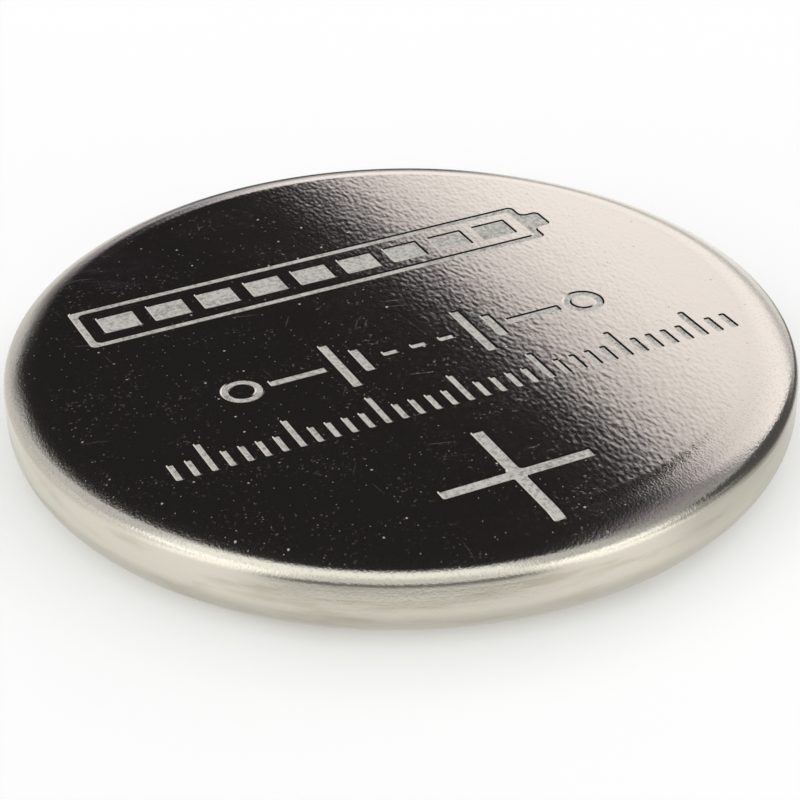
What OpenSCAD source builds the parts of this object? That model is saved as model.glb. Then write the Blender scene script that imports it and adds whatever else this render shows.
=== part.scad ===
// Lithium coin cell, 20 mm across and 2.5 mm thick, built as the stack of pieces
// that are pressed and crimped together to make one.
// The origin is the centre of the flat negative contact face, and the cell stands
// on that face with its positive face up. Every round piece is one section turned
// about Z: in the sections, x is the radius and y is the height.

/* [Cell] */
// Diameter over the side wall
cell_d = 20; // [19:0.1:24]
// Height from the negative contact face to the positive face
cell_h = 2.5; // [2.3:0.05:3.4]

/* [Positive can] */
// Sheet thickness of the drawn can
can_t = 0.25; // [0.2:0.01:0.3]
// Radius of the soft edge over which the face begins to fall away
can_edge_r = 1.8; // [1.5:0.05:2.4]
// Radius of the corner between the soft edge and the side wall
can_corner_r = 0.5; // [0.4:0.02:0.6]
// Radius of the crimp that is rolled in under the foot of the wall
can_crimp_r = 1; // [0.85:0.05:1.1]
// Flat end of the crimped lip, beyond the rolled crimp
can_lip_w = 0.1; // [0.05:0.01:0.2]
// Height of the crimp above the negative contact face
can_lip_z = 0.1; // [0.05:0.01:0.2]

/* [Negative cap] */
// Sheet thickness of the cap
cap_t = 0.25; // [0.2:0.01:0.3]
// Corner radius round the contact face
cap_corner_r = 0.4; // [0.35:0.01:0.5]
// Width of the step from the contact face's edge out to the skirt
cap_step_w = 0.55; // [0.5:0.01:0.7]
// Inside radius of the bends at the step
cap_bend_r = 0.1; // [0.06:0.01:0.12]
// Gap inside the folded-back edge of the skirt
cap_fold_gap = 0.04; // [0.02:0.01:0.08]

/* [Sealing gasket] */
// Thickness between the folded skirt and the can's wall
gasket_side_t = 0.26; // [0.22:0.01:0.4]
// Thickness between the top of the skirt's fold and the can's face
gasket_floor_t = 0.3; // [0.25:0.01:0.4]
// Thickness of the leg inside the skirt
gasket_leg_t = 0.3; // [0.25:0.01:0.4]
// Thickness squeezed between the crimped lip and the cap's step
gasket_lip_t = 0.2; // [0.15:0.01:0.25]
// How far the gasket shows down beside the edge of the crimped lip
gasket_show_h = 0.15; // [0.05:0.01:0.18]

/* [Electrodes] */
// Clearance round the lithium disc in the cap's pan
lithium_gap = 0.45; // [0.2:0.05:0.8]
// Radius on the edge of the lithium disc
lithium_edge_r = 0.08; // [0.04:0.01:0.12]
// Thickness of the separator
separator_t = 0.15; // [0.1:0.01:0.2]
// Clearance between the separator's edge and the skirt
separator_gap = 0.15; // [0.1:0.01:0.18]
// Clearance round the cathode pellet inside the gasket
pellet_gap = 0.45; // [0.2:0.05:0.8]
// Bevel on both edges of the pressed pellet
pellet_bevel = 0.1; // [0.05:0.01:0.2]

/* [Collector mesh] */
// Thickness of the expanded metal
mesh_t = 0.1; // [0.06:0.01:0.14]
// How far the mesh stays inside the pellet's edge
mesh_margin = 0.4; // [0.2:0.05:0.8]
// Width of the plain rim round the mesh
mesh_rim_w = 0.4; // [0.3:0.05:0.6]
// Length of one mesh opening from strand centre to strand centre
mesh_long = 2.4; // [2.2:0.1:3]
// Width of one mesh opening from strand centre to strand centre
mesh_short = 1.4; // [1.3:0.05:1.8]
// Width of a strand
mesh_strand = 0.26; // [0.18:0.02:0.34]

/* [Hidden] */
$fn = 128;

// Directions in the sections, as unit vectors
right = [1, 0];
up = [0, 1];
left = [-1, 0];
down = [0, -1];

// Can
can_r = cell_d / 2;
can_bore_r = can_r - can_t;
can_mouth_r = can_r - can_crimp_r - can_lip_w;
can_inner_z = cell_h - can_t;
can_lip_top_z = can_lip_z + can_t;
// soft edge and corner meet where both arcs face this way, on a slope of 3 to 4
edge_meets = [0.6, 0.8];
edge_centre = [
    can_r - can_corner_r - (can_edge_r - can_corner_r) * edge_meets.x,
    cell_h - can_edge_r
];
corner_centre = edge_centre + (can_edge_r - can_corner_r) * edge_meets;
crimp_centre = [can_r - can_crimp_r, can_lip_z + can_crimp_r];

// Cap, from the can inwards: fold, skirt, step and pan
fold_turn_r = cap_fold_gap / 2;
fold_outer_r = can_bore_r - gasket_side_t;
fold_centre_r = fold_outer_r - cap_t - fold_turn_r;
fold_centre_z = can_inner_z - gasket_floor_t - cap_t - fold_turn_r;
skirt_outer_r = fold_centre_r - fold_turn_r;
skirt_inner_r = skirt_outer_r - cap_t;
cap_face_r = skirt_outer_r - cap_step_w;
pan_inner_r = cap_face_r - cap_t;
step_z = can_lip_top_z + gasket_lip_t;
step_inner_z = step_z + cap_t;
skirt_foot_z = step_z + cap_bend_r + cap_t;
pan_turn_r = cap_face_r + cap_bend_r;
skirt_turn_r = skirt_inner_r - cap_bend_r;

// Gasket
gasket_show_z = can_lip_top_z - gasket_show_h;
gasket_inner_r = skirt_inner_r - gasket_leg_t;

// Electrodes, stacked upwards from the cap's pan
lithium_r = pan_inner_r - lithium_gap;
separator_r = skirt_inner_r - separator_gap;
pellet_r = gasket_inner_r - pellet_gap;
pellet_z = step_inner_z + separator_t;
mesh_z = can_inner_z - mesh_t;
mesh_r = pellet_r - mesh_margin;
// measured across an opening, a slanting strand takes up this many times its width
mesh_slant = 1.2;

// Wedge of a circle round the origin, between two directions at most 90 degrees apart
module wedge(r, from, to) {
    intersection() {
        circle(r);
        polygon([[0, 0], 2 * r * from, 2 * r * (from + to), 2 * r * to]);
    }
}

// Sheet bent round the origin, between two directions at most 90 degrees apart
module bend(inner_r, sheet_t, from, to) {
    difference() {
        wedge(inner_r + sheet_t, from, to);
        circle(inner_r);
    }
}

// Sheet of the can: face, soft edge, corner, side wall, rolled crimp and lip
module can_sheet() {
    translate([0, can_inner_z])
        square([edge_centre.x, can_t]);
    translate(edge_centre)
        bend(can_edge_r - can_t, can_t, edge_meets, up);
    translate(corner_centre)
        bend(can_corner_r - can_t, can_t, right, edge_meets);
    translate([can_bore_r, crimp_centre.y])
        square([can_t, corner_centre.y - crimp_centre.y]);
    translate(crimp_centre)
        bend(can_crimp_r - can_t, can_t, down, right);
    translate([can_mouth_r, can_lip_z])
        square([can_lip_w, can_t]);
}

// Room inside the can, with the mouth that the crimp leaves open
module can_room() {
    translate([0, crimp_centre.y])
        square([can_bore_r, corner_centre.y - crimp_centre.y]);
    translate([0, can_lip_top_z])
        square([crimp_centre.x, crimp_centre.y - can_lip_top_z]);
    translate(crimp_centre)
        wedge(can_crimp_r - can_t, down, right);
    translate([0, can_lip_z])
        square([can_mouth_r, can_t]);
    translate([0, corner_centre.y])
        square([edge_centre.x, can_inner_z - corner_centre.y]);
    translate(corner_centre)
        wedge(can_corner_r - can_t, right, edge_meets);
    intersection() {
        translate(edge_centre)
            wedge(can_edge_r - can_t, edge_meets, up);
        translate([edge_centre.x, corner_centre.y])
            square([can_r, can_inner_z - corner_centre.y]);
    }
}

// Sheet of the cap: flat pan, rounded rim, step, skirt and its folded-back edge
module cap_sheet() {
    square([cap_face_r - cap_corner_r, cap_t]);
    translate([cap_face_r - cap_corner_r, cap_corner_r])
        bend(cap_corner_r - cap_t, cap_t, down, right);
    translate([pan_inner_r, cap_corner_r])
        square([cap_t, step_z - cap_bend_r - cap_corner_r]);
    translate([pan_turn_r, step_z - cap_bend_r])
        bend(cap_bend_r, cap_t, up, left);
    translate([pan_turn_r, step_z])
        square([skirt_turn_r - pan_turn_r, cap_t]);
    translate([skirt_turn_r, skirt_foot_z])
        bend(cap_bend_r, cap_t, down, right);
    translate([skirt_inner_r, skirt_foot_z])
        square([cap_t, fold_centre_z - skirt_foot_z]);
    translate([fold_centre_r, fold_centre_z]) {
        bend(fold_turn_r, cap_t, up, left);
        bend(fold_turn_r, cap_t, right, up);
    }
    translate([fold_outer_r - cap_t, skirt_foot_z])
        square([cap_t, fold_centre_z - skirt_foot_z]);
}

// Slit inside the skirt's fold, up to the turn
module fold_slit() {
    translate([skirt_outer_r, skirt_foot_z])
        square([cap_fold_gap, fold_centre_z - skirt_foot_z]);
    translate([fold_centre_r, fold_centre_z])
        circle(fold_turn_r);
}

// Drawn steel can, its mouth rolled in over the gasket
module positive_can() {
    color("silver")
        rotate_extrude()
            can_sheet();
}

// Moulded ring that wraps the cap's skirt on both sides and shows below as a thin line
module sealing_gasket() {
    color("dimgray")
        rotate_extrude()
            difference() {
                intersection() {
                    can_room();
                    union() {
                        // below the cap's step, from the edge that shows
                        translate([cap_face_r, gasket_show_z])
                            square([can_r, step_z + cap_t / 2 - gasket_show_z]);
                        // between the skirt's fold and the can
                        translate([skirt_outer_r - cap_t / 2, gasket_show_z])
                            square([can_r, can_inner_z - gasket_show_z]);
                        // over the fold and down inside the skirt, onto the separator
                        translate([gasket_inner_r, pellet_z])
                            square([can_r, can_inner_z - pellet_z]);
                    }
                }
                cap_sheet();
                fold_slit();
            }
}

// Pressed steel cap, the negative contact
module negative_cap() {
    color("lightgray")
        rotate_extrude()
            cap_sheet();
}

// Lithium foil disc, pressed onto the floor of the cap's pan
module lithium_disc() {
    color("slategray")
        rotate_extrude()
            translate([0, cap_t]) {
                square([lithium_r, step_inner_z - cap_t - lithium_edge_r]);
                square([lithium_r - lithium_edge_r, step_inner_z - cap_t]);
                translate([lithium_r - lithium_edge_r, step_inner_z - cap_t - lithium_edge_r])
                    wedge(lithium_edge_r, right, up);
            }
}

// Porous sheet between the electrodes, its margin held on the cap's step by the gasket
module separator() {
    color("white")
        translate([0, 0, step_inner_z])
            cylinder(r = separator_r, h = separator_t);
}

// Pressed manganese dioxide tablet, bevelled by its die
module cathode_pellet() {
    color("black")
        rotate_extrude()
            polygon([
                [0, pellet_z],
                [pellet_r - pellet_bevel, pellet_z],
                [pellet_r, pellet_z + pellet_bevel],
                [pellet_r, mesh_z - pellet_bevel],
                [pellet_r - pellet_bevel, mesh_z],
                [0, mesh_z]
            ]);
}

// Expanded metal disc that carries the current from the pellet to the can's face
module collector_mesh() {
    open_long = mesh_long - 2 * mesh_strand;
    open_short = mesh_short - mesh_slant * mesh_strand;
    open_r = mesh_r - mesh_rim_w;
    rows = floor(open_r / (mesh_short / 2));
    columns = floor(open_r / mesh_long) + 1;
    color("gray")
        translate([0, 0, mesh_z])
            linear_extrude(mesh_t)
                difference() {
                    circle(mesh_r);
                    for (row = [-rows : rows], column = [-columns : columns]) {
                        // every other row is shifted by half an opening
                        place = [
                            (column + abs(row % 2) / 2) * mesh_long,
                            row * mesh_short / 2
                        ];
                        if (norm([abs(place.x) + open_long / 2, place.y]) < open_r)
                            translate(place)
                                polygon([
                                    [open_long / 2, 0],
                                    [0, open_short / 2],
                                    [-open_long / 2, 0],
                                    [0, -open_short / 2]
                                ]);
                    }
                }
}

positive_can();
sealing_gasket();
negative_cap();
lithium_disc();
separator();
cathode_pellet();
collector_mesh();
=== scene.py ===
"""Looks of a lithium coin cell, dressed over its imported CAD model.

Lengths in the sections and marks are in millimetres, and become metres when a mesh is made.
A section is in the plane of radius and height, and is followed with the metal on its left.
"""
import math

import bpy
from mathutils import Matrix, Vector
from mathutils.geometry import delaunay_2d_cdt


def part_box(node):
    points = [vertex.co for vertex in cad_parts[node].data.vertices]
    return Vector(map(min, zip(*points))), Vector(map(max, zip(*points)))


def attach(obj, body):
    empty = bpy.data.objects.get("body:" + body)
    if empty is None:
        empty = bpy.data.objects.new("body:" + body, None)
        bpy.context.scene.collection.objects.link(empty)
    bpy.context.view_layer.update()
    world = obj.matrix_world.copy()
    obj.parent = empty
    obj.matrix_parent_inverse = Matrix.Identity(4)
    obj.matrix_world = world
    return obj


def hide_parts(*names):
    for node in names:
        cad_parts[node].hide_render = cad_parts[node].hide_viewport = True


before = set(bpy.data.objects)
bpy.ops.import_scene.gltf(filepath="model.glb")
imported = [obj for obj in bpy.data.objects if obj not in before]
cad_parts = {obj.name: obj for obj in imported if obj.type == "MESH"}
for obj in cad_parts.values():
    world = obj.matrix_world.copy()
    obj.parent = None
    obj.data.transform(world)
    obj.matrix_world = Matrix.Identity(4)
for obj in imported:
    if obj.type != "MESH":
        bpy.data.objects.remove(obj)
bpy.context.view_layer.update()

MM = 0.001
ROUND_STEPS = 320
ARC_STEP = 4.0
ON_AXIS = 1e-6

# Sizes of the can, with the shares out and up of the direction in which its surface faces where
# the soft edge runs into the corner, and sizes of the cap
can_low, can_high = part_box("positive_can")
cap_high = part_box("negative_cap")[1]
CAN_R = can_high.x / MM
CAN_TOP = can_high.z / MM
LIP_Z = can_low.z / MM
SHEET_T = 0.25
EDGE_R = 1.8
CORNER_R = 0.5
CRIMP_R = 1.0
LIP_W = 0.1
MEETS_OUT = 0.6
MEETS_UP = 0.8
EDGE_MEETS = math.degrees(math.atan2(MEETS_UP, MEETS_OUT))
EDGE_CENTRE = (
    CAN_R - CORNER_R - (EDGE_R - CORNER_R) * math.cos(math.radians(EDGE_MEETS)),
    CAN_TOP - EDGE_R,
)

FOLD_R = cap_high.x / MM
CAP_CORNER_R = 0.4
CAP_STEP_W = 0.55
CAP_BEND_R = 0.1
FOLD_TURN_R = 0.02
STEP_Z = 0.55
FOLD_TURN_Z = cap_high.z / MM - SHEET_T - FOLD_TURN_R

# Marks on the face: a rolled edge, then a matt floor
MARK_DEPTH = 0.021
MARK_EDGE_W = 0.055
MARK_EDGE_STEPS = 5
MARK_CORNER_R = 0.065
MARK_CORNER_STEP = 22
MARK_POINT_GAP = 0.15
CIRCLE_POINT_GAP = 0.09
CIRCLE_POINTS = 16
MARK_CLEARANCE = 0.05

# Middle of a dull film near the edge of the face
FILM_PLACE = (-5.6, 6.1, 2.5)

# The face's mesh carries on down the soft edge as far as a mark may reach. Marks that go
# past the last radius here are kept clear of the mesh's own points.
FACE_EDGE_R = 9.3
FACE_RINGS = 7
NEAR_EDGE_R = 8.6

# What the triangulation leaves out: holes in the regions, and all outside them. Points that
# are nearer to each other than the second value become one.
TRIANGLES_WITH_HOLES = 2
ONE_POINT = 1e-7

# Where the photograph was taken from
CAMERA_AZIMUTH = -26.0
CAMERA_ELEVATION = 31.866
CAMERA_ROLL = -0.83
CAMERA_DISTANCE = 55.0
CAMERA_LENS = 96.79
CAMERA_SENSOR = 36.0
CAMERA_NEAR = 0.001
CAMERA_FAR = 10.0
AIM_RIGHT = -0.0209
AIM_UP = -0.8025
AIM_HEIGHT = 1.25


class Surface:
    """Corners, faces and exact corner normals of one mesh."""

    def __init__(self):
        self.corners = []
        self.faces = []
        self.normals = []
        self.materials = []

    def corner(self, x, y, z):
        self.corners.append((x * MM, y * MM, z * MM))
        return len(self.corners) - 1

    def face(self, corners, normals, material=0):
        self.faces.append(corners)
        self.normals.extend(normals)
        self.materials.append(material)

    def piece(self, name, materials):
        mesh = bpy.data.meshes.new(name)
        mesh.from_pydata(self.corners, [], self.faces)
        for material in materials:
            mesh.materials.append(material)
        mesh.polygons.foreach_set("material_index", self.materials)
        mesh.polygons.foreach_set("use_smooth", [True] * len(self.faces))
        mesh.update()
        mesh.normals_split_custom_set(self.normals)
        piece = bpy.data.objects.new(name, mesh)
        bpy.context.scene.collection.objects.link(piece)
        return piece


def straight(start, end):
    """Two section points of a straight stretch, with its normal."""
    length = math.dist(start, end)
    normal = ((end[1] - start[1]) / length, (start[0] - end[0]) / length)
    return [(*start, *normal), (*end, *normal)]


def arc(centre, radius, start, end):
    """Section points on an arc between two angles in degrees, hollow where it runs clockwise."""
    steps = max(3, math.ceil(abs(end - start) / ARC_STEP))
    side = 1 if end > start else -1
    points = []
    for i in range(steps + 1):
        angle = math.radians(start + (end - start) * i / steps)
        along = (math.cos(angle), math.sin(angle))
        points.append((
            centre[0] + radius * along[0],
            centre[1] + radius * along[1],
            side * along[0],
            side * along[1],
        ))
    return points


def directions():
    """Unit vectors round the axis, one for each step of a turned surface."""
    return [
        (math.cos(math.tau * i / ROUND_STEPS), math.sin(math.tau * i / ROUND_STEPS))
        for i in range(ROUND_STEPS)
    ]


def ring(surface, r, z):
    """Corners of one ring of a turned surface, all the same one on the axis."""
    if r < ON_AXIS:
        return [surface.corner(0, 0, z)] * ROUND_STEPS
    return [surface.corner(r * c, r * s, z) for c, s in directions()]


def turn(surface, runs, material=0):
    """Turns section runs round the axis. Returns the ring where they end."""
    around = directions()
    lower = None
    for run in runs:
        for below, above in zip(run, run[1:]):
            if lower is None:
                lower = ring(surface, below[0], below[1])
            upper = ring(surface, above[0], above[1])
            for i in range(ROUND_STEPS):
                j = (i + 1) % ROUND_STEPS
                quad = [
                    (lower[i], below, i),
                    (lower[j], below, j),
                    (upper[j], above, j),
                    (upper[i], above, i),
                ]
                if below[0] < ON_AXIS:
                    del quad[1]
                elif above[0] < ON_AXIS:
                    del quad[3]
                corners = [corner for corner, point, k in quad]
                normals = [
                    (point[2] * around[k][0], point[2] * around[k][1], point[3])
                    for corner, point, k in quad
                ]
                surface.face(corners, normals, material)
            lower = upper
    return lower


def face_height(r):
    """Height of the can's face at a radius, down the soft edge too, and its slope outwards."""
    reach = r - EDGE_CENTRE[0]
    if reach <= 0:
        return CAN_TOP, 0.0
    rise = math.sqrt(EDGE_R**2 - reach**2)
    return EDGE_CENTRE[1] + rise, -reach / rise


def rounded(points, radius=MARK_CORNER_R):
    """Contour through a polygon's rounded corners, followed with the recess on its left.

    Each entry is (centre x, centre y, outward x, outward y, reach). At an inset d
    the contour's point is the centre plus outward times (reach - d)."""
    contour = []
    count = len(points)
    for i, here in enumerate(points):
        before = Vector(points[i - 1])
        here = Vector(here)
        after = Vector(points[(i + 1) % count])
        way_in = (here - before).normalized()
        way_out = (after - here).normalized()
        first = Vector((way_in.y, -way_in.x))
        last = Vector((way_out.y, -way_out.x))
        bulge = 1 if way_in.cross(way_out) > 0 else -1
        centre = here - bulge * radius * (first + last) / (1 + first.dot(last))
        steps = max(2, round(math.degrees(first.angle(last)) / MARK_CORNER_STEP))
        for k in range(steps + 1):
            outward = first.slerp(last, k / steps)
            contour.append((*centre, *outward, bulge * radius))
    return filled_in(contour)


def circle(x, y, radius, island=False):
    """Contour of a round recess, or of an island of plain face inside one."""
    steps = max(CIRCLE_POINTS, round(math.tau * radius / CIRCLE_POINT_GAP))
    side = -1 if island else 1
    return [
        (
            x,
            y,
            side * math.cos(side * math.tau * k / steps),
            side * math.sin(side * math.tau * k / steps),
            side * radius,
        )
        for k in range(steps)
    ]


def filled_in(contour):
    """The same contour with more points along its straight stretches."""
    full = []
    for i, here in enumerate(contour):
        after = contour[(i + 1) % len(contour)]
        gap = math.dist(inset(here, 0), inset(after, 0))
        pieces = max(1, math.ceil(gap / MARK_POINT_GAP)) if here[2:4] == after[2:4] else 1
        for k in range(pieces):
            full.append(tuple(a + (b - a) * k / pieces for a, b in zip(here, after)))
    return full


def inset(entry, distance):
    """Point of a contour, moved into the recess by a distance."""
    x, y, outward_x, outward_y, reach = entry
    return (x + outward_x * (reach - distance), y + outward_y * (reach - distance))


def box_corners(x0, y0, x1, y1, island=False):
    """Corners of an upright box, turned the other way round for an island."""
    corners = [(x0, y0), (x1, y0), (x1, y1), (x0, y1)]
    return corners[::-1] if island else corners


def bar(x, y, width, height):
    """Contour of a solid box round a centre."""
    return rounded(box_corners(x - width / 2, y - height / 2, x + width / 2, y + height / 2))


def plus_sign(x, y, length, width):
    """Contour of the polarity sign."""
    a = width / 2
    b = length / 2
    return rounded([
        (x - a, y - b), (x + a, y - b), (x + a, y - a), (x + b, y - a),
        (x + b, y + a), (x + a, y + a), (x + a, y + b), (x - a, y + b),
        (x - a, y + a), (x - b, y + a), (x - b, y - a), (x - a, y - a),
    ])


def charge_gauge():
    """Generic pictogram of a full cell: a rounded outline, its terminal and solid bars."""
    left, right, low, high = -7.3, 5.7, 2.55, 4.55
    line = 0.26
    nub_w, nub_h = 0.5, 0.42
    bars = 9
    gap = 0.3
    outer_corner = 0.16
    inner_corner = 0.1
    middle = (low + high) / 2
    outline = rounded([
        (left, low), (right, low), (right, middle - nub_h), (right + nub_w, middle - nub_h),
        (right + nub_w, middle + nub_h), (right, middle + nub_h), (right, high), (left, high),
    ], outer_corner)
    hollow_box = box_corners(left + line, low + line, right - line, high - line, island=True)
    hollow = rounded(hollow_box, inner_corner)
    room = right - left - 2 * line - gap
    pitch = room / bars
    contours = [outline, hollow]
    for i in range(bars):
        x = left + line + gap + pitch * (i + 0.5) - gap / 2
        contours.append(bar(x, middle, pitch - gap, high - low - 2 * line - 2 * gap))
    return contours


def circuit_sign():
    """Circuit sign of a battery: ring terminals, leads, and long and short plates."""
    y = -1.02
    line = 0.3
    ring_x = 4.75
    ring_r = 0.55
    ring_line = line * 0.85
    lead_gap = 0.14
    lead_end = 2.5
    plate_x = [-2.15, -1.55, 1.55, 2.15]
    plate_h = [2.2, 1.15, 2.2, 1.15]
    dash_pitch = 0.78
    dash_w = 0.46
    dash_line = line * 0.8
    contours = []
    for side in (-1, 1):
        contours.append(circle(side * ring_x, y, ring_r))
        contours.append(circle(side * ring_x, y, ring_r - ring_line, island=True))
        near = side * (ring_x - ring_r - lead_gap)
        far = side * lead_end
        contours.append(bar((near + far) / 2, y, abs(near - far), line))
    for x, height in zip(plate_x, plate_h):
        contours.append(bar(x, y, line, height))
    for i in (-1, 0, 1):
        contours.append(bar(i * dash_pitch, y, dash_w, dash_line))
    return contours


def tick_scale():
    """Row of short ticks, with a longer one at even steps."""
    foot = -3.95
    pitch = 0.44
    width = 0.22
    long_tick = 1.3
    short_tick = 0.75
    long_every = 5
    side_ticks = 17
    contours = []
    for i in range(-side_ticks, side_ticks + 1):
        height = short_tick if i % long_every else long_tick
        contours.append(bar(i * pitch, foot + height / 2, width, height))
    return contours


def fill(surface, contours, corner_of, normal_of, loose, material):
    """Triangles between closed contours of corners, with loose points inside them."""
    points = []
    regions = []
    for contour in contours:
        region = range(len(points), len(points) + len(contour))
        turning = sum(a[0] * b[1] - a[1] * b[0] for a, b in zip(contour, contour[1:] + contour[:1]))
        regions.append(list(region) if turning > 0 else list(reversed(region)))
        points += contour
    points += loose
    corners = [corner_of(x, y, index) for index, (x, y) in enumerate(points)]
    places = [Vector(point) for point in points]
    made = delaunay_2d_cdt(places, [], regions, TRIANGLES_WITH_HOLES, ONE_POINT)
    for triangle in made[2]:
        a, b, c = (places[i] for i in triangle)
        if (b - a).cross(c - a) < 0:
            triangle = triangle[::-1]
        normals = [normal_of(*points[i]) for i in triangle]
        surface.face([corners[i] for i in triangle], normals, material)


def face_normal(x, y, slope_x=0.0, slope_y=0.0):
    """Normal of the can's face at a point, with the slope of a mark's edge added."""
    r = math.hypot(x, y)
    slope = face_height(r)[1]
    if r > 0:
        slope_x += slope * x / r
        slope_y += slope * y / r
    return Vector((-slope_x, -slope_y, 1)).normalized()


def mark_corner(surface, x, y, depth):
    """Corner at a depth below the can's face."""
    return surface.corner(x, y, face_height(math.hypot(x, y))[0] - depth)


def mark_edge(surface, contour, upper):
    """Rolled edge from a contour on the face down to the mark's floor, whose corners it returns."""
    count = len(contour)
    rows = []
    for step in range(MARK_EDGE_STEPS + 1):
        t = step / MARK_EDGE_STEPS
        depth = MARK_DEPTH * t * t * (3 - 2 * t)
        steepness = MARK_DEPTH / MARK_EDGE_W * 6 * t * (1 - t)
        places = [inset(entry, MARK_EDGE_W * t) for entry in contour]
        corners = [mark_corner(surface, *place, depth) for place in places] if step else upper
        normals = [
            face_normal(*place, steepness * entry[2], steepness * entry[3])
            for place, entry in zip(places, contour)
        ]
        rows.append((corners, normals))
    for (high, high_normals), (low, low_normals) in zip(rows, rows[1:]):
        for i in range(count):
            j = (i + 1) % count
            surface.face(
                [high[i], high[j], low[j], low[i]],
                [high_normals[i], high_normals[j], low_normals[j], low_normals[i]],
            )
    return rows[-1][0]


def marked_face(surface, outer_ring, contours):
    """Face of the can with its marks sunk into it."""
    outer = [(FACE_EDGE_R * c, FACE_EDGE_R * s) for c, s in directions()]
    uppers = [[mark_corner(surface, *inset(entry, 0), 0) for entry in c] for c in contours]
    known = list(outer_ring)
    for upper in uppers:
        known += upper
    reaching = [
        contour for contour in contours
        if max(math.hypot(*inset(entry, 0)) for entry in contour) > NEAR_EDGE_R
    ]
    loose = []
    for k in range(FACE_RINGS):
        r = FACE_EDGE_R - (FACE_EDGE_R - EDGE_CENTRE[0]) * (k + 1) / FACE_RINGS
        loose += [(r * c, r * s) for c, s in directions() if clear_of(r * c, r * s, reaching)]

    def corner_of(x, y, index):
        return known[index] if index < len(known) else mark_corner(surface, x, y, 0)

    edges = [outer] + [[inset(entry, 0) for entry in contour] for contour in contours]
    fill(surface, edges, corner_of, face_normal, loose, 0)

    floors = []
    for contour, upper in zip(contours, uppers):
        floors += mark_edge(surface, contour, upper)
    floor_edges = [[inset(entry, MARK_EDGE_W) for entry in contour] for contour in contours]
    fill(surface, floor_edges, lambda x, y, index: floors[index], face_normal, [], 1)


def clear_of(x, y, contours):
    """True where a point of the face is outside every mark and not close to its edge."""
    for contour in contours:
        edge = [inset(entry, 0) for entry in contour]
        if min(math.dist((x, y), point) for point in edge) < MARK_CLEARANCE:
            return False
        crossings = 0
        for (x0, y0), (x1, y1) in zip(edge, edge[1:] + edge[:1]):
            if (y0 > y) != (y1 > y) and x < x0 + (x1 - x0) * (y - y0) / (y1 - y0):
                crossings += 1
        if crossings % 2:
            return False
    return True


def make_can(materials):
    """Drawn can, followed from the inside of its face round the crimp and back to the face."""
    edge = EDGE_CENTRE
    corner = (CAN_R - CORNER_R, edge[1] + (EDGE_R - CORNER_R) * math.sin(math.radians(EDGE_MEETS)))
    crimp = (CAN_R - CRIMP_R, LIP_Z + CRIMP_R)
    mouth_r = crimp[0] - LIP_W
    bore_r = CAN_R - SHEET_T
    inner_z = CAN_TOP - SHEET_T
    face_ends = math.degrees(math.acos((FACE_EDGE_R - edge[0]) / EDGE_R))
    runs = [
        straight((0, inner_z), (edge[0], inner_z)),
        arc(edge, EDGE_R - SHEET_T, 90, EDGE_MEETS),
        arc(corner, CORNER_R - SHEET_T, EDGE_MEETS, 0),
        straight((bore_r, corner[1]), (bore_r, crimp[1])),
        arc(crimp, CRIMP_R - SHEET_T, 0, -90),
        straight((crimp[0], LIP_Z + SHEET_T), (mouth_r, LIP_Z + SHEET_T)),
        straight((mouth_r, LIP_Z + SHEET_T), (mouth_r, LIP_Z)),
        straight((mouth_r, LIP_Z), (crimp[0], LIP_Z)),
        arc(crimp, CRIMP_R, -90, 0),
        straight((CAN_R, crimp[1]), (CAN_R, corner[1])),
        arc(corner, CORNER_R, 0, EDGE_MEETS),
        arc(edge, EDGE_R, EDGE_MEETS, face_ends),
    ]
    surface = Surface()
    top = turn(surface, runs)
    marks = [plus_sign(x=-0.6, y=-7.18, length=3.97, width=0.37)]
    marks += charge_gauge() + circuit_sign() + tick_scale()
    marked_face(surface, top, marks)
    return surface.piece("can_shell", materials)


def make_cap(materials):
    """Pressed cap, followed from its contact face out to the folded skirt and back inside."""
    skirt_r = FOLD_R - SHEET_T - 2 * FOLD_TURN_R
    inner_r = skirt_r - SHEET_T
    pan_r = skirt_r - CAP_STEP_W
    corner = (pan_r - CAP_CORNER_R, CAP_CORNER_R)
    pan_bend = (pan_r + CAP_BEND_R, STEP_Z - CAP_BEND_R)
    skirt_bend = (inner_r - CAP_BEND_R, STEP_Z + SHEET_T + CAP_BEND_R)
    fold = (skirt_r + FOLD_TURN_R, FOLD_TURN_Z)
    outer_bend = CAP_BEND_R + SHEET_T
    foot_z = skirt_bend[1]
    step_top = STEP_Z + SHEET_T
    runs = [
        straight((0, 0), (corner[0], 0)),
        arc(corner, CAP_CORNER_R, -90, 0),
        straight((pan_r, CAP_CORNER_R), (pan_r, pan_bend[1])),
        arc(pan_bend, CAP_BEND_R, 180, 90),
        straight((pan_bend[0], STEP_Z), (skirt_bend[0], STEP_Z)),
        arc(skirt_bend, outer_bend, -90, 0),
        straight((skirt_r, foot_z), (skirt_r, fold[1])),
        arc(fold, FOLD_TURN_R, 180, 0),
        straight((fold[0] + FOLD_TURN_R, fold[1]), (fold[0] + FOLD_TURN_R, foot_z)),
        straight((fold[0] + FOLD_TURN_R, foot_z), (FOLD_R, foot_z)),
        straight((FOLD_R, foot_z), (FOLD_R, fold[1])),
        arc(fold, FOLD_TURN_R + SHEET_T, 0, 180),
        straight((inner_r, fold[1]), (inner_r, foot_z)),
        arc(skirt_bend, CAP_BEND_R, 0, -90),
        straight((skirt_bend[0], step_top), (pan_bend[0], step_top)),
        arc(pan_bend, outer_bend, 90, 180),
        straight((pan_r - SHEET_T, pan_bend[1]), (pan_r - SHEET_T, CAP_CORNER_R)),
        arc(corner, CAP_CORNER_R - SHEET_T, 0, -90),
        straight((corner[0], SHEET_T), (0, SHEET_T)),
    ]
    surface = Surface()
    turn(surface, runs)
    return surface.piece("cap_shell", materials)


# Part of a spot that is at full strength
SPOT_CORE = 0.3

# Colour sockets of the mix node, which come after those for numbers and vectors
MIX_A = 6
MIX_B = 7
MIX_RESULT = 2


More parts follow.
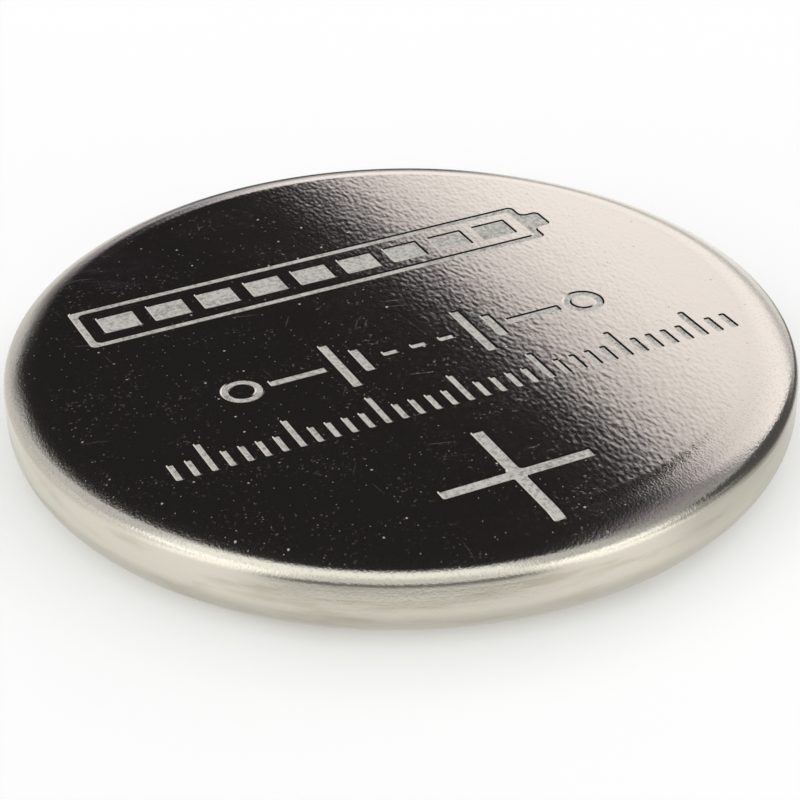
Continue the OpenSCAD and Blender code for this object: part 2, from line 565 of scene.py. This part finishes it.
class Nodes:
    """Short calls for the shader nodes used here. A value may be a number, a tuple or a socket."""

    def __init__(self, tree):
        self.tree = tree
        tree.nodes.clear()

    def node(self, kind, inputs=None, **settings):
        made = self.tree.nodes.new(kind)
        for name, value in settings.items():
            setattr(made, name, value)
        for name, value in (inputs or {}).items():
            self.put(made.inputs[name], value)
        return made

    def put(self, socket, value):
        if isinstance(value, bpy.types.NodeSocket):
            self.tree.links.new(value, socket)
        else:
            socket.default_value = value

    def math(self, operation, a, b=0.0, c=0.0, clamp=False):
        inputs = {0: a, 1: b, 2: c}
        made = self.node("ShaderNodeMath", inputs, operation=operation, use_clamp=clamp)
        return made.outputs[0]

    def step(self, value, low, high):
        """Smooth rise from 0 at low to 1 at high. It falls where low is above high."""
        inputs = {"Value": value, "From Min": min(low, high), "From Max": max(low, high)}
        made = self.node("ShaderNodeMapRange", inputs, interpolation_type="SMOOTHSTEP")
        made.inputs["To Min"].default_value = 0.0 if low < high else 1.0
        made.inputs["To Max"].default_value = 1.0 if low < high else 0.0
        return made.outputs["Result"]

    def between(self, value, low, high, soft):
        """1 between low and high, with soft ends."""
        rise = self.step(value, low - soft, low + soft)
        fall = self.step(value, high + soft, high - soft)
        return self.math("MULTIPLY", rise, fall)

    def span(self, value, low, high):
        """Straight map from 0 and 1 to low and high."""
        inputs = {"Value": value, "To Min": low, "To Max": high}
        return self.node("ShaderNodeMapRange", inputs).outputs["Result"]

    def blend(self, factor, a, b):
        """Colour a where the factor is 0, and b where it is 1."""
        made = self.node("ShaderNodeMix", data_type="RGBA")
        self.put(made.inputs[0], factor)
        self.put(made.inputs[MIX_A], a)
        self.put(made.inputs[MIX_B], b)
        return made.outputs[MIX_RESULT]

    def mix_shader(self, factor, a, b):
        return self.node("ShaderNodeMixShader", {0: factor, 1: a, 2: b}).outputs[0]

    def millimetres(self, stretch=(1, 1, 1), turn=0.0):
        """Place on the piece in millimetres, turned about the axis and then stretched."""
        place = self.node("ShaderNodeTexCoord").outputs["Object"]
        if turn:
            inputs = {"Vector": place, "Angle": math.radians(turn)}
            place = self.node(
                "ShaderNodeVectorRotate", inputs, rotation_type="Z_AXIS"
            ).outputs["Vector"]
        scale = tuple(s / MM for s in stretch)
        inputs = {0: place, 1: scale}
        return self.node("ShaderNodeVectorMath", inputs, operation="MULTIPLY").outputs[0]

    def noise(self, place, per_mm, detail=2.0, roughness=0.5, distortion=0.0):
        """Cloudy noise between 0 and 1."""
        inputs = {
            "Vector": place,
            "Scale": per_mm,
            "Detail": detail,
            "Roughness": roughness,
            "Distortion": distortion,
        }
        return self.node("ShaderNodeTexNoise", inputs).outputs["Fac"]

    def spots(self, place, per_mm, size, share):
        """Soft spots scattered over the plane: size in cells, share of the cells that hold one."""
        inputs = {"Vector": place, "Scale": per_mm}
        made = self.node("ShaderNodeTexVoronoi", inputs, voronoi_dimensions="2D")
        random = self.node("ShaderNodeSeparateColor", {0: made.outputs["Color"]})
        near = self.step(made.outputs["Distance"], size, size * SPOT_CORE)
        chosen = self.step(random.outputs[0], share, share * SPOT_CORE)
        return self.math("MULTIPLY", near, chosen)

    def scratches(self, rows):
        """Fine straight scratches, each row with its stretch, turn, size, share and strength."""
        total = 0.0
        for stretch, turn, size, share, strength in rows:
            place = self.millimetres((*stretch, 1.0), turn)
            total = self.add(total, self.product(self.spots(place, 1.0, size, share), strength))
        return total

    def bump(self, height, depth_mm, under=None):
        """Normal of a relief, on top of another one where that is given."""
        made = self.node("ShaderNodeBump", {"Height": height, "Distance": depth_mm * MM})
        if under is not None:
            self.put(made.inputs["Normal"], under)
        return made.outputs["Normal"]

    def add(self, *values):
        total = values[0]
        for value in values[1:]:
            total = self.math("ADD", total, value)
        return total

    def product(self, *values):
        total = values[0]
        for value in values[1:]:
            total = self.math("MULTIPLY", total, value)
        return total

    def line(self, value, slope, offset, rest):
        """slope times the value, plus the offset and the rest."""
        return self.math("ADD", self.math("MULTIPLY_ADD", value, slope, offset), rest)

    def toward(self, value, target, share):
        """The value moved that share of the way to the target."""
        return self.math("MULTIPLY_ADD", self.math("SUBTRACT", target, value), share, value)


def material(name, metal, build):
    """New material with one Principled shader, whose builder returns the values it takes."""
    made = bpy.data.materials.new(name)
    made.use_nodes = True
    nodes = Nodes(made.node_tree)
    shader = nodes.node("ShaderNodeBsdfPrincipled", {"Metallic": metal})
    for socket, value in build(nodes).items():
        nodes.put(shader.inputs[socket], value)
    output = nodes.node("ShaderNodeOutputMaterial")
    nodes.put(output.inputs["Surface"], shader.outputs["BSDF"])
    return made


# Finish of the nickel: its colours, the heights where the wall's finish starts and is full, the
# radii where the soft edge's does, depths of its relief in millimetres, the roughness that each
# place adds, and the strength of what lies on it. A row of scratches has the stretch across and
# along them, the turn in degrees, the size of one in its cell, the share of cells that hold one,
# and the strength.
FACE_NICKEL = (0.655, 0.6, 0.545, 1)
WALL_NICKEL = (0.645, 0.61, 0.545, 1)
STAINED_NICKEL = (0.53, 0.485, 0.415, 1)
FILMED_NICKEL = (0.6, 0.5, 0.485, 1)
PITTED_NICKEL = (0.42, 0.39, 0.33, 1)
DUST = (0.78, 0.76, 0.72, 1)
WALL_HEIGHTS = (2.05, 1.65)
EDGE_RADII = (8.5, 9.3)
PEEL_DEPTH = 0.0016
GRIT_DEPTH = 0.0042
DRAW_DEPTH = 0.003
FACE_ROUGHNESS = (0.04, 0.07)
WALL_ROUGHNESS = 0.16
EDGE_ROUGHNESS = 0.1
FILM_ROUGHNESS = 0.1
FILM_FADES = (2.0, 0.4)
DUST_STRENGTH = 0.42
MOTE_STRENGTH = 0.2
POWDER_STRENGTH = 0.12
PIT_STRENGTH = 0.35
NICKEL_SCRATCHES = [
    ((0.25, 5.0), 17, 0.12, 0.08, 0.07),
    ((0.3, 6.0), -58, 0.12, 0.06, 0.06),
    ((0.35, 7.0), 82, 0.12, 0.06, 0.05),
]

# Finish of the steel cap, with rows of the same kind for its scuffs
STEEL_LIGHT = (0.65, 0.62, 0.57, 1)
STEEL_DARK = (0.6, 0.57, 0.515, 1)
STEEL_SCUFFED = (0.76, 0.74, 0.7, 1)
STEEL_SCUFFS = [
    ((0.14, 5.0), 70, 0.12, 0.35, 0.5),
    ((0.2, 7.0), -24, 0.14, 0.3, 0.4),
]


def from_axis(nodes):
    """Distance from the cell's axis in millimetres."""
    flat = nodes.millimetres((1.0, 1.0, 0.0))
    return nodes.node("ShaderNodeVectorMath", {0: flat}, operation="LENGTH").outputs["Value"]


def nickel_normal(nodes, place, wall, edge):
    """Orange peel all over, grit on the soft edge, and draw lines down the wall."""
    peel_place = nodes.millimetres((1.1, 0.62, 1.0), turn=12)
    peel = nodes.add(
        nodes.noise(peel_place, per_mm=8.5, detail=0.6, roughness=0.4),
        nodes.product(nodes.noise(peel_place, per_mm=3.0, detail=1.0), 0.65),
        nodes.product(nodes.noise(peel_place, per_mm=0.9), 0.9),
    )
    grain = nodes.math("SUBTRACT", nodes.noise(place, per_mm=17.0, detail=1.5), 0.5)
    draw_lines = nodes.noise(nodes.millimetres((0.12, 0.12, 9.0)), per_mm=1.0, detail=3.0)
    lined = nodes.bump(nodes.product(draw_lines, wall), DRAW_DEPTH)
    gritty = nodes.bump(nodes.product(grain, edge), GRIT_DEPTH, lined)
    return nodes.bump(peel, PEEL_DEPTH, gritty)


def nickel_specks(nodes, place):
    """Dust, smaller motes, patches of powder and faint scratches."""
    clumps = nodes.step(nodes.noise(place, per_mm=0.7, detail=3.0), 0.42, 0.62)
    powder = nodes.step(nodes.noise(place, per_mm=11.0, detail=2.0), 0.6, 0.78)
    return nodes.add(
        nodes.product(nodes.spots(place, per_mm=1.1, size=0.045, share=0.4), DUST_STRENGTH),
        nodes.product(nodes.spots(place, per_mm=3.1, size=0.08, share=0.5), MOTE_STRENGTH),
        nodes.product(powder, clumps, POWDER_STRENGTH),
        nodes.scratches(NICKEL_SCRATCHES),
    )


def nickel_film(nodes, place):
    """Rippled dull film round its own middle."""
    inputs = {0: place, 1: FILM_PLACE}
    to_film = nodes.node("ShaderNodeVectorMath", inputs, operation="DISTANCE").outputs["Value"]
    ripple = nodes.noise(nodes.millimetres((0.7, 3.0, 1.0), turn=25), per_mm=1.0, detail=3.0)
    return nodes.product(nodes.step(to_film, *FILM_FADES), nodes.step(ripple, 0.3, 0.7))


def nickel_plate(nodes):
    """Mirror nickel with orange peel, dust, fine scratches and a dull film, softer at the side."""
    place = nodes.millimetres()
    height = nodes.node("ShaderNodeSeparateXYZ", {0: place}).outputs["Z"]
    wall = nodes.step(height, *WALL_HEIGHTS)
    face = nodes.math("SUBTRACT", 1.0, wall)
    edge = nodes.step(from_axis(nodes), *EDGE_RADII)
    specks = nodes.product(nickel_specks(nodes, place), face)
    film = nickel_film(nodes, place)

    haze = nodes.noise(place, per_mm=0.35, detail=4.0, roughness=0.6)
    roughness = nodes.add(
        nodes.span(haze, *FACE_ROUGHNESS),
        nodes.product(wall, WALL_ROUGHNESS),
        nodes.product(edge, EDGE_ROUGHNESS),
        nodes.product(film, FILM_ROUGHNESS),
    )

    stain_place = nodes.millimetres((0.4, 0.4, 2.4))
    stain = nodes.noise(stain_place, per_mm=1.0, detail=4.0, roughness=0.6)
    stained = nodes.product(nodes.step(stain, 0.45, 0.75), wall)
    pits = nodes.step(nodes.noise(place, per_mm=15.0, detail=1.0), 0.5, 0.72)
    pitted = nodes.product(pits, edge, nodes.step(wall, 1, 0), PIT_STRENGTH)
    colour = nodes.blend(wall, FACE_NICKEL, WALL_NICKEL)
    colour = nodes.blend(stained, colour, STAINED_NICKEL)
    colour = nodes.blend(film, colour, FILMED_NICKEL)
    colour = nodes.blend(pitted, colour, PITTED_NICKEL)
    return {
        "Base Color": nodes.blend(specks, colour, DUST),
        "Metallic": nodes.math("SUBTRACT", 1.0, specks, clamp=True),
        "Roughness": nodes.math("ADD", roughness, specks, clamp=True),
        "Normal": nickel_normal(nodes, place, wall, edge),
    }


def etched_floor(nodes):
    """Matt grey floor of the marks, with a fine grain and darker flecks."""
    place = nodes.millimetres()
    grain = nodes.noise(place, per_mm=16.0, detail=3.0, roughness=0.7)
    fleck = nodes.noise(place, per_mm=8.0, detail=4.0, roughness=0.75)
    patch = nodes.noise(place, per_mm=1.6, detail=2.0)
    dark = nodes.step(nodes.add(fleck, nodes.product(patch, 0.25)), 0.54, 0.82)
    grey = (0.7, 0.675, 0.63, 1)
    fleck_grey = (0.32, 0.305, 0.285, 1)
    return {
        "Base Color": nodes.blend(dark, grey, fleck_grey),
        "Roughness": nodes.span(grain, 0.45, 0.8),
        "Normal": nodes.bump(grain, depth_mm=0.014),
    }


def satin_steel(nodes):
    """Fine satin of the negative cap, with faint ring marks of its press tool."""
    place = nodes.millimetres()
    rings = nodes.node(
        "ShaderNodeTexNoise",
        {"W": from_axis(nodes), "Scale": 7.0, "Detail": 3.0},
        noise_dimensions="1D",
    ).outputs["Fac"]
    grain = nodes.noise(place, per_mm=14.0, detail=3.0, roughness=0.65)
    cloud = nodes.noise(place, per_mm=0.4, detail=4.0, roughness=0.6)
    scuff = nodes.scratches(STEEL_SCUFFS)
    colour = nodes.blend(nodes.step(cloud, 0.3, 0.75), STEEL_LIGHT, STEEL_DARK)
    return {
        "Base Color": nodes.blend(scuff, colour, STEEL_SCUFFED),
        "Roughness": nodes.add(nodes.span(cloud, 0.2, 0.32), nodes.product(scuff, 0.25)),
        "Normal": nodes.bump(rings, depth_mm=0.0035, under=nodes.bump(grain, depth_mm=0.0028)),
    }


def moulded_polypropylene(nodes):
    """Near-black plastic with a fine moulded grain."""
    place = nodes.millimetres()
    grain = nodes.noise(place, per_mm=9.0, detail=3.0)
    cloud = nodes.noise(place, per_mm=0.8, detail=2.0)
    darker = (0.012, 0.012, 0.014, 1)
    lighter = (0.03, 0.03, 0.032, 1)
    return {
        "Base Color": nodes.blend(cloud, darker, lighter),
        "Roughness": nodes.span(grain, 0.38, 0.6),
        "Normal": nodes.bump(grain, depth_mm=0.004),
    }


def rolled_lithium(nodes):
    """Soft foil with roll lines and a dull, slightly cloudy skin."""
    lines = nodes.noise(nodes.millimetres((0.15, 7.0, 1.0), turn=12), per_mm=1.0, detail=4.0)
    cloud = nodes.noise(nodes.millimetres(), per_mm=0.7, detail=4.0, roughness=0.6)
    fresh = (0.5, 0.51, 0.54, 1)
    dulled = (0.38, 0.385, 0.4, 1)
    return {
        "Base Color": nodes.blend(cloud, fresh, dulled),
        "Roughness": nodes.span(cloud, 0.32, 0.6),
        "Normal": nodes.bump(lines, depth_mm=0.004),
    }


def nonwoven_sheet(nodes):
    """White felted sheet of crossing fibres, darker in the gaps between them with painted shade."""
    fibre_angles = (10, 55, 100, 145)
    fibres = [
        nodes.noise(
            nodes.millimetres((0.8, 13.0, 1.0), turn=angle), per_mm=1.0, detail=2.0, distortion=0.4
        )
        for angle in fibre_angles
    ]
    felt = nodes.product(nodes.add(*fibres), 1 / len(fibres))
    # painted shade in the gaps between the fibres
    painted_gap_shade = (0.62, 0.62, 0.6, 1)
    on_fibres = (0.86, 0.86, 0.84, 1)
    return {
        "Base Color": nodes.blend(nodes.step(felt, 0.4, 0.6), painted_gap_shade, on_fibres),
        "Roughness": nodes.span(felt, 0.75, 0.95),
        "Normal": nodes.bump(felt, depth_mm=0.05),
    }


def pressed_powder(nodes):
    """Black tablet of pressed powder with small graphite glints."""
    place = nodes.millimetres()
    grain = nodes.noise(place, per_mm=8.0, detail=5.0, roughness=0.7)
    glints = nodes.spots(place, per_mm=6.0, size=0.2, share=0.3)
    black = (0.008, 0.008, 0.009, 1)
    dark_grey = (0.035, 0.035, 0.037, 1)
    return {
        "Base Color": nodes.blend(grain, black, dark_grey),
        "Roughness": nodes.math("SUBTRACT", 0.75, nodes.product(glints, 0.4)),
        "Normal": nodes.bump(grain, depth_mm=0.03),
    }


def expanded_steel(nodes):
    """Plain steel strands with roll lines and a cut edge's roughness."""
    lines = nodes.noise(nodes.millimetres((4.0, 0.2, 4.0)), per_mm=1.0, detail=4.0)
    cloud = nodes.noise(nodes.millimetres(), per_mm=1.5, detail=3.0)
    lighter = (0.48, 0.47, 0.45, 1)
    darker = (0.4, 0.39, 0.37, 1)
    return {
        "Base Color": nodes.blend(cloud, lighter, darker),
        "Roughness": nodes.span(lines, 0.25, 0.5),
        "Normal": nodes.bump(lines, depth_mm=0.003),
    }


# Light of the studio as the cell sees it. Sideways angles run to the right from straight
# ahead of the camera, and heights are above the table, both in degrees.
ROOM_TINT = (0.975, 1.0, 0.995, 1)
CARD_TINT = (1.0, 0.985, 0.985, 1)
SCREEN_TINT = (1.05, 0.97, 1.08, 1)
LAMP_TINT = (0.98, 1.025, 0.975, 1)
EDGE_TINT = (0.95, 0.985, 1.12, 1)
TABLE_TINT = (1.0, 1.0, 0.955, 1)
PALE = 0.72
FILL_LEVEL = 0.55
FILL_ANGLE = 100

# Screen: cosines of the angle from its middle where it starts and is full, and its level
SCREEN_MIDDLE = (0.0, 0.491, 0.871)
SCREEN_FADES = (0.54, 0.7)
DARK = 0.021

# Parts of the room between two sideways angles with a soft margin, with the heights where they
# start and are full. The low glow is the same on both sides.
LOW_SCREEN = ((-25, 14, 5), (-2, 2))
LEFT_SCREEN = ((-44, -20, 8), (7, 15))
LEFT_LOW = ((-108, -74, 8), (7, 2))
RIGHT_LOW = ((84, 104, 6), (8, 2))
HORIZON = ((-20, 45, 6), (13, 5))
DARK_SIDE = ((36, 97, 7), (32, 22))
LOW_GLOW = ((108, 146, 7), (20, 8))
LEFT_LOW_LEVEL = 1.0
RIGHT_LOW_LEVEL = 0.5
HORIZON_LEVEL = 0.6
DARK_SIDE_LEVEL = 0.1
LOW_GLOW_LEVEL = 1.7

# Parts behind the cell's sides, with the sideways angles and the heights where they start and
# are full. The softbox is dimmer on the right.
OVERHEAD = ((88, 104), (44, 60))
SOFTBOX = ((104, 120), (54, 36))
NEAR_LOW = ((150, 160), (26, 4))
SOFTBOX_LEVEL = 1.28
SOFTBOX_RIGHT = (90, 148, 6)
SOFTBOX_RIGHT_LEVEL = 0.7
NEAR_LOW_LEVEL = 0.8

# A grey patch at the right, soft at all sides
GREY_SIDEWAYS = (66, 112, 16)
GREY_HEIGHTS = (26, 54, 10)
GREY_LEVEL = 0.4

# White card: its left edge climbs to the right, and its foot rises with the sideways angle.
# Its levels are those of its middle, top and foot, and the share left at its left edge. One
# level goes over to another between the two values of its turns.
CARD_SLOPE = -1.4
CARD_SHIFT = 36.8
CARD_LEFT_FADES = (-3.3, -0.1)
CARD_RIGHT_FADES = (70, 54)
CARD_STOPS = (-12, -2)
CARD_TOP_FADES = (56, 38)
CARD_FOOT_SHIFT = 34.8
CARD_FOOT_FADES = (-2, 4)
CARD = 1.32
CARD_TOP = 1.05
CARD_TOP_TURNS = (38, 22)
CARD_EDGE = 0.55
CARD_EDGE_TURNS = (-3, 4.5)
CARD_FOOT = 1.5
CARD_FOOT_TURNS = (10, 1)

# Shares of the dark and of the card where the tints of the screen and the dim edge start, are
# full and end
TINTED_DARK = (0.75, 1.0)
TINTED_EDGE_STARTS = (0.0, 0.06)
TINTED_EDGE_ENDS = (0.5, 0.15)

# Light from below the table's level, straight up and at a slant
BELOW_STARTS = (0.0, -0.02)
BELOW_HEIGHTS = (-75, -15)
BELOW_STRAIGHT = 0.45
BELOW_SLANT = 1.05

# The table is brighter to the camera than its colour makes it. What the metal sees of it is
# set apart as a painted reflection: zones of painted shade and painted glow between two
# sideways angles, soft at their ends, that start at one distance from the cell's middle and are
# full at another, with their level. A painted shadow darkens it under the cell.
FLOOR_LIFT = 0.2
FLOOR_TONE = 0.8
FLOOR_CLOUD = 0.005
FLOOR_RINGS = [900.0, 150.0, 40.0, 14.0]
FLOOR_HOLE_GAP = 0.1
TABLE_SEEN = 1.06
# level of the painted shadow under the cell, which starts at UNDER_R
PAINTED_UNDER_SHADOW = 0.72
UNDER_R = 11.5
PAINTED_TABLE_ZONES = [
    (-120, -25, 12, 11.0, 14.0, 0.78),
    (-150, -132, 6, 12.0, 16.0, 1.6),
    (114, 134, 6, 10.5, 11.5, 0.72),
    (125, 148, 5, 12.0, 16.0, 1.6),
    (98, 116, 6, 10.2, 12.4, 0.5),
    (50, 104, 10, 10.8, 15.5, 0.11),
    (-122, -98, 6, 16.0, 21.0, 0.95),
    (-24, 8, 5, 12.2, 13.8, 0.1),
]

# The table between the cell and the camera, and a painted dark band of shade across it that
# ends at distances of its own
NEAR_SIDE = 157
NEAR_SOFT = 5
NEAR_STARTS = (12.15, 12.6)
NEAR_ENDS = (21.0, 16.5)
NEAR_SEEN = 0.92
PAINTED_NEAR_SHADE = 0.12


def seen_angles(nodes, direction):
    """Direction turned to the camera's azimuth, with its sideways angle and height."""
    ahead = nodes.node(
        "ShaderNodeVectorRotate",
        {"Vector": direction, "Angle": math.radians(-CAMERA_AZIMUTH)},
        rotation_type="Z_AXIS",
    ).outputs["Vector"]
    split = nodes.node("ShaderNodeSeparateXYZ", {0: ahead})
    x, y, z = split.outputs["X"], split.outputs["Y"], split.outputs["Z"]
    sideways = nodes.math("DEGREES", nodes.math("ARCTAN2", x, y))
    return ahead, sideways, z


def across(nodes, angle, above, part):
    """Part of the room between two angles with a soft margin, and past a height."""
    sides, heights = part
    return nodes.product(nodes.between(angle, *sides), nodes.step(above, *heights))


def past(nodes, angle, above, part):
    """Part of the room past an angle and past a height."""
    angles, heights = part
    return nodes.product(nodes.step(angle, *angles), nodes.step(above, *heights))


def dark_screen(nodes, ahead, sideways, behind, above):
    """Everything that is dark: the screen, its lower parts, and the ceiling behind."""
    inputs = {0: ahead, 1: SCREEN_MIDDLE}
    to_screen = nodes.node("ShaderNodeVectorMath", inputs, operation="DOT_PRODUCT").outputs["Value"]
    dark = nodes.step(to_screen, *SCREEN_FADES)
    patches = [
        across(nodes, sideways, above, LOW_SCREEN),
        across(nodes, sideways, above, LEFT_SCREEN),
        past(nodes, behind, above, OVERHEAD),
    ]
    for patch in patches:
        dark = nodes.math("MAXIMUM", dark, patch)
    return dark


def white_card(nodes, sideways, above):
    """Mask and level of the card."""
    slant = nodes.line(above, CARD_SLOPE, CARD_SHIFT, sideways)
    over_foot = nodes.line(sideways, -1.0, CARD_FOOT_SHIFT, above)
    card = nodes.product(
        nodes.step(slant, *CARD_LEFT_FADES),
        nodes.step(sideways, *CARD_RIGHT_FADES),
        nodes.step(sideways, *CARD_STOPS),
        nodes.step(above, *CARD_TOP_FADES),
        nodes.step(over_foot, *CARD_FOOT_FADES),
    )
    level = nodes.product(
        nodes.span(nodes.step(above, *CARD_TOP_TURNS), CARD_TOP, CARD),
        nodes.span(nodes.step(slant, *CARD_EDGE_TURNS), CARD_EDGE, 1.0),
    )
    return card, nodes.toward(level, CARD_FOOT, nodes.step(over_foot, *CARD_FOOT_TURNS))


def room_tint(nodes, dark, card, lamps):
    """Colour of the room's light, cooler on the screen and along the card's dim edge."""
    tint = nodes.blend(nodes.step(dark, *TINTED_DARK), ROOM_TINT, SCREEN_TINT)
    tint = nodes.blend(card, tint, CARD_TINT)
    dim_edge = nodes.product(
        nodes.step(card, *TINTED_EDGE_STARTS),
        nodes.step(card, *TINTED_EDGE_ENDS),
    )
    tint = nodes.blend(dim_edge, tint, EDGE_TINT)
    return nodes.blend(lamps, tint, LAMP_TINT)


def studio_world():
    """Pale room with a dark screen above, a white card on the right and a softbox behind."""
    world = bpy.data.worlds.new("studio")
    bpy.context.scene.world = world
    world.use_nodes = True
    nodes = Nodes(world.node_tree)
    ray = nodes.node("ShaderNodeTexCoord").outputs["Generated"]
    ahead, sideways, z = seen_angles(nodes, ray)
    above = nodes.math("DEGREES", nodes.math("ARCSINE", z))
    behind = nodes.math("ABSOLUTE", sideways)

    dark = dark_screen(nodes, ahead, sideways, behind, above)
    card, card_level = white_card(nodes, sideways, above)
    softbox = past(nodes, behind, above, SOFTBOX)
    softbox_right = nodes.between(sideways, *SOFTBOX_RIGHT)
    low_glow = across(nodes, behind, above, LOW_GLOW)
    grey_side = nodes.product(
        nodes.between(sideways, *GREY_SIDEWAYS),
        nodes.between(above, *GREY_HEIGHTS),
    )

    # each layer covers those before it
    layers = [
        (dark, DARK),
        (softbox, nodes.span(softbox_right, SOFTBOX_LEVEL, SOFTBOX_RIGHT_LEVEL)),
        (low_glow, LOW_GLOW_LEVEL),
        (grey_side, GREY_LEVEL),
        (across(nodes, sideways, above, DARK_SIDE), DARK_SIDE_LEVEL),
        (card, card_level),
        (past(nodes, behind, above, NEAR_LOW), NEAR_LOW_LEVEL),
        (across(nodes, sideways, above, HORIZON), HORIZON_LEVEL),
        (across(nodes, sideways, above, LEFT_LOW), LEFT_LOW_LEVEL),
        (across(nodes, sideways, above, RIGHT_LOW), RIGHT_LOW_LEVEL),
        (
            nodes.step(z, *BELOW_STARTS),
            nodes.span(nodes.step(above, *BELOW_HEIGHTS), BELOW_STRAIGHT, BELOW_SLANT),
        ),
    ]
    light = PALE
    for mask, level in layers:
        light = nodes.toward(light, level, mask)

    seen = nodes.node("ShaderNodeLightPath").outputs["Is Camera Ray"]
    tint = room_tint(nodes, dark, card, nodes.math("MAXIMUM", softbox, low_glow))
    room = nodes.node("ShaderNodeBackground", {"Color": tint, "Strength": light})
    white = nodes.node("ShaderNodeBackground", {"Color": (1, 1, 1, 1), "Strength": 1.0})
    output = nodes.node("ShaderNodeOutputWorld")
    nodes.put(output.inputs["Surface"], nodes.mix_shader(seen, room.outputs[0], white.outputs[0]))


def fill_light():
    """Broad soft light from overhead that brings matt surfaces to their own colour."""
    data = bpy.data.lights.new("fill", "SUN")
    data.energy = FILL_LEVEL * math.pi
    data.angle = math.radians(FILL_ANGLE)
    lamp = bpy.data.objects.new("fill", data)
    lamp.visible_glossy = False
    bpy.context.scene.collection.objects.link(lamp)


def table_seen(nodes, place):
    """Level of the table as the metal sees it: a painted reflection with painted shade and glow."""
    sideways = seen_angles(nodes, place)[1]
    distance = nodes.node("ShaderNodeVectorMath", {0: place}, operation="LENGTH").outputs["Value"]
    # painted shadow under the cell, seen only in the metal
    level = nodes.toward(TABLE_SEEN, PAINTED_UNDER_SHADOW, nodes.step(distance, UNDER_R, CAN_R))
    # zones of painted shade and painted glow, seen only in the metal
    for left, right, soft, starts, full, zone_level in PAINTED_TABLE_ZONES:
        side = nodes.between(sideways, left, right, soft)
        zone = nodes.product(side, nodes.step(distance, starts, full))
        level = nodes.toward(level, zone_level, zone)
    # painted dark band of shade between the cell and the camera, seen only in the metal
    behind = nodes.math("ABSOLUTE", sideways)
    side = nodes.step(behind, NEAR_SIDE - NEAR_SOFT, NEAR_SIDE + NEAR_SOFT)
    near = nodes.product(side, nodes.step(distance, *NEAR_STARTS))
    level = nodes.toward(level, NEAR_SEEN, near)
    return nodes.toward(level, PAINTED_NEAR_SHADE, nodes.product(near, nodes.step(distance, *NEAR_ENDS)))


def make_floor():
    """White table. It is open under the contact face, and seen from below it is clear. The metal
    sees a painted reflection of glow and shade on it.
    """
    rings = FLOOR_RINGS + [cap_corner_start() + FLOOR_HOLE_GAP]
    surface = Surface()
    turn(surface, [[(r, 0.0, 0.0, 1.0) for r in rings]])
    made = bpy.data.materials.new("table_white")
    made.use_nodes = True
    nodes = Nodes(made.node_tree)
    place = nodes.millimetres()
    cloud = nodes.noise(place, per_mm=0.05)
    low, high = FLOOR_TONE - FLOOR_CLOUD, FLOOR_TONE + FLOOR_CLOUD
    colour = nodes.blend(cloud, (low, low, low, 1), (high, high, high, 1))
    matt = nodes.node("ShaderNodeBsdfDiffuse", {"Color": colour})
    path = nodes.node("ShaderNodeLightPath").outputs
    seen = nodes.math("MAXIMUM", path["Is Camera Ray"], path["Is Transmission Ray"])
    glow = nodes.node("ShaderNodeEmission", {"Strength": nodes.product(seen, FLOOR_LIFT)})
    white = nodes.node("ShaderNodeAddShader", {0: matt.outputs[0], 1: glow.outputs[0]})
    inputs = {"Color": TABLE_TINT, "Strength": table_seen(nodes, place)}
    # the metal sees this painted reflection of glow and shade, not the lit table
    painted_reflection = nodes.node("ShaderNodeEmission", inputs)
    table = nodes.mix_shader(path["Is Glossy Ray"], white.outputs[0], painted_reflection.outputs[0])
    clear = nodes.node("ShaderNodeBsdfTransparent")
    back = nodes.node("ShaderNodeNewGeometry").outputs["Backfacing"]
    output = nodes.node("ShaderNodeOutputMaterial")
    nodes.put(output.inputs["Surface"], nodes.mix_shader(back, table, clear.outputs[0]))
    surface.piece("table", [made])


def cap_corner_start():
    """Radius where the contact face ends and the cap's corner begins."""
    return FOLD_R - SHEET_T - 2 * FOLD_TURN_R - CAP_STEP_W - CAP_CORNER_R


def make_camera():
    """Camera at the photograph's place, turned by its azimuth, elevation and roll."""
    elevation = math.radians(CAMERA_ELEVATION)
    azimuth = math.radians(CAMERA_AZIMUTH)
    roll = math.radians(CAMERA_ROLL)
    back = Vector((
        math.sin(azimuth) * math.cos(elevation),
        -math.cos(azimuth) * math.cos(elevation),
        math.sin(elevation),
    ))
    level_right = Vector((math.cos(azimuth), math.sin(azimuth), 0))
    level_up = back.cross(level_right)
    right = math.cos(roll) * level_right + math.sin(roll) * level_up
    up = math.cos(roll) * level_up - math.sin(roll) * level_right
    aim = Vector((0, 0, AIM_HEIGHT)) + AIM_RIGHT * right + AIM_UP * up
    data = bpy.data.cameras.new("camera")
    data.sensor_width = CAMERA_SENSOR
    data.lens = CAMERA_LENS
    data.clip_start = CAMERA_NEAR
    data.clip_end = CAMERA_FAR
    camera = bpy.data.objects.new("camera", data)
    bpy.context.scene.collection.objects.link(camera)
    turned = Matrix((right, up, back)).transposed().to_4x4()
    camera.matrix_world = Matrix.Translation((aim + CAMERA_DISTANCE * back) * MM) @ turned
    bpy.context.scene.camera = camera


def dress(node, name, metal, build):
    """A carried-over CAD piece gets its own finish."""
    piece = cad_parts[node]
    piece.data.materials.clear()
    piece.data.materials.append(material(name, metal, build))


bpy.context.scene.view_settings.view_transform = "Standard"
studio_world()
fill_light()
make_floor()
make_camera()

can = make_can([
    material("nickel_plate", 1.0, nickel_plate),
    material("etched_floor", 0.4, etched_floor),
])
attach(can, "root")
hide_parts("positive_can")

cap = make_cap([material("satin_steel", 1.0, satin_steel)])
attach(cap, "root")
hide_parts("negative_cap")

dress("sealing_gasket", "moulded_polypropylene", 0.0, moulded_polypropylene)
dress("lithium_disc", "rolled_lithium", 1.0, rolled_lithium)
dress("separator", "nonwoven_sheet", 0.0, nonwoven_sheet)
dress("cathode_pellet", "pressed_powder", 0.0, pressed_powder)
dress("collector_mesh", "expanded_steel", 1.0, expanded_steel)
